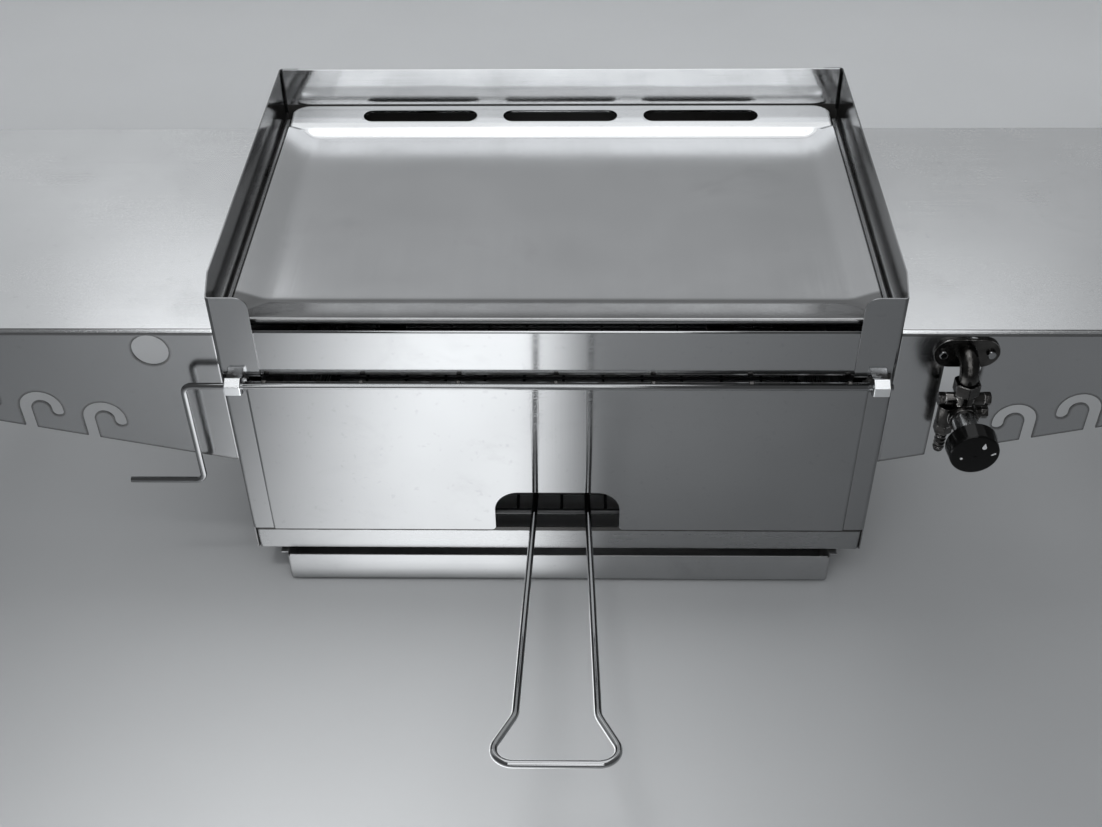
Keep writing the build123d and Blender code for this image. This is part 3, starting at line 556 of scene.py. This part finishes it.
# Tack welds: small beads of weld metal between the rod and the door's top edge, dark with oxide.
weld_metal, shader, at = material("weld_metal")
scale_marks = at.noise(700.0, 3.0, 0.6)
scale_height = scale_marks * (0.3 * MM)
connect(shader, Base_Color=scale_marks.rise(0.35, 0.65).tint(grey(0.05, 0.06), grey(0.22, 0.03)),
        Roughness=0.35 + scale_marks * 0.35, Metallic=0.85, Normal=scale_height.bump())
dress(weld_metal, "weld_beads", edge=0)

# Rack: a frame of thick steel wire with thinner wires welded across it, blackened by use and painted darker
# still as shade inside the body. It lies on its runners.
rack_wire = steel("rack_wire", level=0.07, roughness=0.40, grain=(300.0, 300.0, 300.0), wave=0.0, smudge=0.2,
                  stain=0.3, scratch=0.0)
dress(rack_wire, "rack_frame", "rack_bars", "rack_wires", edge=0)

# Rack handle: one length of bright wire that lies on the rack, comes out through the door's notch and flares
# to a grip.
handle_steel = steel("handle_steel", level=0.40, roughness=0.06, grain=(900.0, 12.0, 900.0), wave=0.0,
                     smudge=0.05, stain=0.10, scratch=0.2)
dress(handle_steel, "rack_handle", edge=0)

# Shelves: satin sheet folded to a top with aprons, hook slots cut along the front aprons' lower edges. The
# aprons are painted darker than the tops as shade, the cut edges carry painted shade, and a dark line each
# side of the front fold is a painted reflection.
SHELF_LOW, SHELF_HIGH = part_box("left_shelf")
SHELF_FOLD = 3.5 * MM
EDGE_SHADE_WIDTH = 4.2 * MM


def edges(at, width):
    """1 along sharp edges, falling to 0 on flats and wide bends."""
    rounded = at.node("Bevel", {"samples": 8}, {"Radius": width})
    flat = at.node("NewGeometry", None, None, "Normal")
    likeness = at.node("VectorMath", {"operation": "DOT_PRODUCT"}, {0: rounded, 1: flat}, "Value")
    return (1 - likeness).rise(0.006, 0.035)


def band(value, start, end, blur):
    """1 between two places, 0 outside."""
    return value.rise(start - blur, start) * value.rise(end + blur, end)


def apron_painted_shade(at):
    """Painted shade that darkens the aprons but not the tops, painted shade on cut edges, and painted dark
    reflections each side of the front fold.
    """
    painted_apron_shade = at.part("Z").rise(SHELF_HIGH.z - 1.5 * MM, SHELF_HIGH.z - 4.0 * MM) * 0.40
    on_top = at.part("Y") - SHELF_LOW.y
    below_top = SHELF_HIGH.z - at.part("Z")
    # Painted reflections: a dark line on the top and one on the apron, each side of the front fold.
    top_fold_reflection = band(on_top, 2.6 * MM, 3.6 * MM, 0.4 * MM) * below_top.rise(SHELF_FOLD, 0.2 * SHELF_FOLD)
    front_fold_reflection = band(below_top, 2.6 * MM, 4.8 * MM, 0.5 * MM) * on_top.rise(SHELF_FOLD, 0.5 * SHELF_FOLD)
    # Painted shade: the cut edges of the slots, the hole and the aprons' lower edges are darkened.
    burnt_and_edge_shade = edges(at, EDGE_SHADE_WIDTH) * below_top.rise(SHELF_FOLD, 2 * SHELF_FOLD)
    return painted_apron_shade.most(top_fold_reflection * 0.75).most(front_fold_reflection * 0.8).most(burnt_and_edge_shade * 0.85)


shelf_steel = steel("shelf_steel", level=0.76, roughness=0.24, grain=(6.0, 420.0, 420.0), wave=0.12 * MM,
                    smudge=0.14, stain=0.10, soot_and_shade=apron_painted_shade, dulling=-0.2)
dress(shelf_steel, "left_shelf", "right_shelf")

# Gas line: drawn steel pipe from the tap to the injector in the right wall. Its fittings are of the tap's
# metal and are dressed with the tap.
pipe_steel = steel("pipe_steel", level=0.50, roughness=0.28, grain=(200.0, 200.0, 200.0), wave=0.0, stain=0.2,
                   scratch=0.2)
dress(pipe_steel, "gas_pipe", edge=0)

# Gas tap: cast and turned metal, bolted to the right apron by its oval flange. Its chrome is painted
# near-black for the dark room it reflects, and broken bright lines along its edges are painted glints.
tap_metal, shader, at = material("tap_metal")
cast = at.noise(420.0, 3.0, 0.6) * (0.25 * MM)
grime = at.noise(70.0, 3.0).rise(0.35, 0.7)
# Painted glints: broken lines of bright metal along the edges.
edge_glints = edges(at, 1.0 * MM) * at.noise(170.0, 2.0).rise(0.42, 0.58)
# Painted reflection: a near-black base in place of the dark room that chrome reflects.
dark_reflection_base = grime.tint(grey(0.045, 0.04), grey(0.085, 0.04))
connect(shader, Base_Color=edge_glints.tint(dark_reflection_base, grey(0.80, 0.02)), Roughness=0.15 + grime * 0.12,
        Metallic=1.0, Normal=cast.bump())
dress(tap_metal, "valve_body", "valve_flange", "outlet_elbow", "union_nut", "side_plugs", "hose_barb",
      "barb_nut", "injector", "injector_nut", "pipe_nut", "stem_collar", "valve_stem", "flange_nuts",
      edge=0.5 * MM)
bolt_zinc = steel("bolt_zinc", level=0.34, roughness=0.10, grain=(400.0, 400.0, 400.0), wave=0.0, smudge=0.1,
                  stain=0.2, scratch=0.2)
dress(bolt_zinc, "flange_bolts", edge=1.5 * MM, limited=False)
bonnet_chrome = steel("bonnet_chrome", level=0.42, roughness=0.18, grain=(300.0, 900.0, 300.0), wave=0.0,
                      scratch=0.2)
dress(bonnet_chrome, "valve_bonnet", edge=0.3 * MM)

# Knob: glossy black moulded plastic, pushed on the stem. A dot, a flame and a dash are pad-printed on its
# domed face in pale paint.
knob_plastic, shader, at = material("knob_plastic")
dust = at.noise(220.0, 4.0, 0.6).rise(0.6, 0.85)
connect(shader, Base_Color=(dust * 0.12).tint(grey(0.003, 0.0), grey(0.05, 0.0)),
        Roughness=0.09 + dust * 0.15 + at.noise(60.0, 3.0) * 0.04, Specular_IOR_Level=0.17)
dress(knob_plastic, "knob", edge=0)
mark_paint, shader, at = material("mark_paint")
faded = at.noise(2500.0, 3.0, 0.6)
connect(shader, Base_Color=faded.rise(0.35, 0.6).tint(grey(0.55), grey(0.86)), Roughness=0.4 + faded * 0.2)
knob_low, knob_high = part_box("knob")
KNOB_X, KNOB_Z = (knob_low.x + knob_high.x) / 2, (knob_low.z + knob_high.z) / 2
FACE_RADIUS, FACE_DOME = 21.1 * MM, 1.0 * MM
PRINT = 0.05 * MM
DOT_RADIUS, DOT_PLACE = 1.2 * MM, (-11.2 * MM, -3.6 * MM)
FLAME_RADIUS, FLAME_PLACE = 2.0 * MM, (6.4 * MM, 9.0 * MM)
DASH_REACH, DASH_THICK_END, DASH_THIN_END = 1.5 * MM, 0.9 * MM, 0.6 * MM
DASH_PLACE, DASH_LEAN = (15.5 * MM, 1.0 * MM), 28


def knob_mark(name, outline):
    """A pale mark printed on the knob's domed face; points are from the middle of the face."""
    shape = bmesh.new()
    front = []
    for x, z in outline:
        dome = FACE_DOME * (x * x + z * z) / FACE_RADIUS ** 2
        front.append(shape.verts.new((KNOB_X + x, knob_low.y + dome - PRINT, KNOB_Z + z)))
    shape.faces.new(front)
    skirt = bmesh.ops.extrude_face_region(shape, geom=shape.faces[:])
    moved = [part for part in skirt["geom"] if isinstance(part, bmesh.types.BMVert)]
    bmesh.ops.translate(shape, verts=moved, vec=(0, 3 * PRINT, 0))
    bmesh.ops.recalc_face_normals(shape, faces=shape.faces[:])
    mark = new_piece(name, shape)
    mark.data.materials.append(mark_paint)
    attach(mark, "tap_knob")


def leaned(outline, centre, degrees):
    """Points turned and moved to a place."""
    cosine, sine = cos(radians(degrees)), sin(radians(degrees))
    return [(centre[0] + x * cosine - z * sine, centre[1] + x * sine + z * cosine) for x, z in outline]


dot = arc((0, 0), DOT_RADIUS, 0, 330, 11)
flame = arc((0, 0), FLAME_RADIUS, 150, 390, 14)
flame += [(0.9 * MM, 2.6 * MM), (0.2 * MM, 4.6 * MM), (-0.8 * MM, 2.8 * MM)]
dash = arc((DASH_REACH, 0), DASH_THICK_END, -90, 90, 6) + arc((-DASH_REACH, 0), DASH_THIN_END, 90, 270, 6)
knob_mark("off_mark", leaned(dot, DOT_PLACE, 0))
knob_mark("flame_mark", leaned(flame, FLAME_PLACE, 0))
knob_mark("low_mark", leaned(dash, DASH_PLACE, DASH_LEAN))

# Studio: a plain pale floor in a dim room that is brighter behind. Soft boxes hang in front, above and
# behind, small ones light the floor under the shelves, one at floor level is mirrored in the left half of the
# door, and a spot makes a pool of light on the floor.
FLOOR_REACH = 8.0
corners = [(-FLOOR_REACH, -FLOOR_REACH, 0), (FLOOR_REACH, -FLOOR_REACH, 0),
           (FLOOR_REACH, FLOOR_REACH, 0), (-FLOOR_REACH, FLOOR_REACH, 0)]
floor_mesh = bpy.data.meshes.new("floor")
floor_mesh.from_pydata(corners, [], [(0, 1, 2, 3)])
floor = bpy.data.objects.new("floor", floor_mesh)
bpy.context.scene.collection.objects.link(floor)
floor_paint, shader, at = material("floor_paint")
connect(shader, Base_Color=at.noise(5.0, 4.0).tint(grey(0.42, -0.02), grey(0.46, -0.02)), Roughness=0.42)
floor_mesh.materials.append(floor_paint)

world = bpy.data.worlds.new("studio")
bpy.context.scene.world = world
world.use_nodes = True
direction = Shade(world.node_tree).node("TexCoord", None, None, "Generated")
behind = direction.part("Y").rise(0.15, 0.75) * (0.8 - direction.part("X") * 0.42)
sky_colour = behind.tint(grey(0.13, -0.02), grey(0.60, -0.02))
backdrop = world.node_tree.nodes["Background"]
world.node_tree.links.new(sky_colour.socket, backdrop.inputs["Color"])
backdrop.inputs["Strength"].default_value = 1.0
LAMP_COLOUR = (0.97, 0.985, 1.0)


def aimed(place, target):
    """The turn that points a lamp at a target."""
    return (Vector(target) - Vector(place)).to_track_quat("-Z", "Y").to_euler()


def soft_light(name, place, target, width, height, radiance, spread=180.0):
    """A rectangular soft box, as bright as it looks in a mirror."""
    lamp = bpy.data.lights.new(name, "AREA")
    lamp.shape = "RECTANGLE"
    lamp.size = width
    lamp.size_y = height
    lamp.energy = radiance * pi * width * height
    lamp.spread = radians(spread)
    lamp.color = LAMP_COLOUR
    holder = bpy.data.objects.new(name, lamp)
    holder.location = place
    holder.rotation_euler = aimed(place, target)
    holder.visible_camera = False
    bpy.context.scene.collection.objects.link(holder)
    return lamp


soft_light("front_box", place=(0.0, -1.12, 1.97), target=(0.0, 0.35, 0.33),
           width=1.5, height=1.35, radiance=1.9)
soft_light("front_low_box", place=(0.0, -1.75, 0.92), target=(0.0, 0.35, 0.33),
           width=1.5, height=0.36, radiance=2.3)
soft_light("ceiling_box", place=(0.0, 0.75, 2.1), target=(0.0, 0.75, 0.0),
           width=1.8, height=2.4, radiance=1.12)
soft_light("back_floor_box", place=(0.0, 1.15, 2.0), target=(0.0, 1.15, 0.0),
           width=3.2, height=0.7, radiance=0.75, spread=50.0)
soft_light("slope_box", place=(0.0, 0.26, 1.2), target=(0.0, 0.26, 0.0),
           width=0.9, height=0.42, radiance=0.5, spread=60.0)
for side, shelf_radiance in ((-1, 0.8), (1, 0.5)):
    soft_light("shelf_box", place=(side * 0.98, 1.80, 1.85), target=(side * 0.40, 0.0, 0.3),
               width=0.5, height=0.6, radiance=shelf_radiance)
    soft_light("shelf_fill", place=(side * 0.48, 0.19, 0.135), target=(side * 0.48, 0.19, 0.0),
               width=0.30, height=0.30, radiance=0.40)

LOW_BOX_LEFT, LOW_BOX_RIGHT = -0.455, 0.065
LOW_BOX_FRONT, LOW_BOX_BACK = -0.48, -0.040
LOW_BOX_HEIGHT = 0.003
low_place = Vector(((LOW_BOX_LEFT + LOW_BOX_RIGHT) / 2, (LOW_BOX_FRONT + LOW_BOX_BACK) / 2, LOW_BOX_HEIGHT))
low_box = soft_light("low_box", place=low_place, target=low_place + Vector((0, 0, 1)),
                     width=LOW_BOX_RIGHT - LOW_BOX_LEFT, height=LOW_BOX_BACK - LOW_BOX_FRONT, radiance=2.2)
low_box.use_nodes = True
from_right = Shade(low_box.node_tree).node("NewGeometry", None, None, "Parametric").part("X")
fade = from_right.rise(0.95, 0.38) * from_right.rise(0.02, 0.24)
low_glow = low_box.node_tree.nodes["Emission"].inputs["Color"]
low_box.node_tree.links.new(fade.tint(grey(0.0), grey(1.0, 0.0)).socket, low_glow)

POOL_PLACE, POOL_TARGET = (-0.40, -0.95, 1.75), (-0.20, -0.47, 0.0)
pool = bpy.data.lights.new("floor_pool", "SPOT")
pool.energy = 215.0
pool.spot_size = radians(20.0)
pool.spot_blend = 0.8
pool.shadow_soft_size = 0.35
pool_holder = bpy.data.objects.new("floor_pool", pool)
pool_holder.location = POOL_PLACE
pool_holder.rotation_euler = aimed(POOL_PLACE, POOL_TARGET)
pool_holder.visible_glossy = False
bpy.context.scene.collection.objects.link(pool_holder)

# Camera: at the height and tilt of a person who looks down at the front. Its place, angles and lens were
# solved from the body's straight edges in the photograph.
LENS = 44.65
SENSOR = 36.0
EYE = Vector((19.2, -964.8, 1034.1)) * MM
PITCH, YAW, ROLL = radians(40.74), radians(-1.46), radians(0.81)
ahead = Vector((sin(YAW) * cos(PITCH), cos(YAW) * cos(PITCH), -sin(PITCH)))
level = Vector((cos(YAW), -sin(YAW), 0.0))
down = ahead.cross(level)
right = cos(ROLL) * level + sin(ROLL) * down
up = sin(ROLL) * level - cos(ROLL) * down
lens = bpy.data.cameras.new("camera")
lens.lens = LENS
lens.sensor_width = SENSOR
lens.sensor_fit = "HORIZONTAL"
lens.clip_start = 0.01
camera = bpy.data.objects.new("camera", lens)
turn = Matrix((right, up, -ahead)).transposed().to_4x4()
camera.matrix_world = Matrix.Translation(EYE) @ turn
bpy.context.scene.collection.objects.link(camera)
bpy.context.scene.camera = camera
bpy.context.scene.view_settings.view_transform = "Standard"
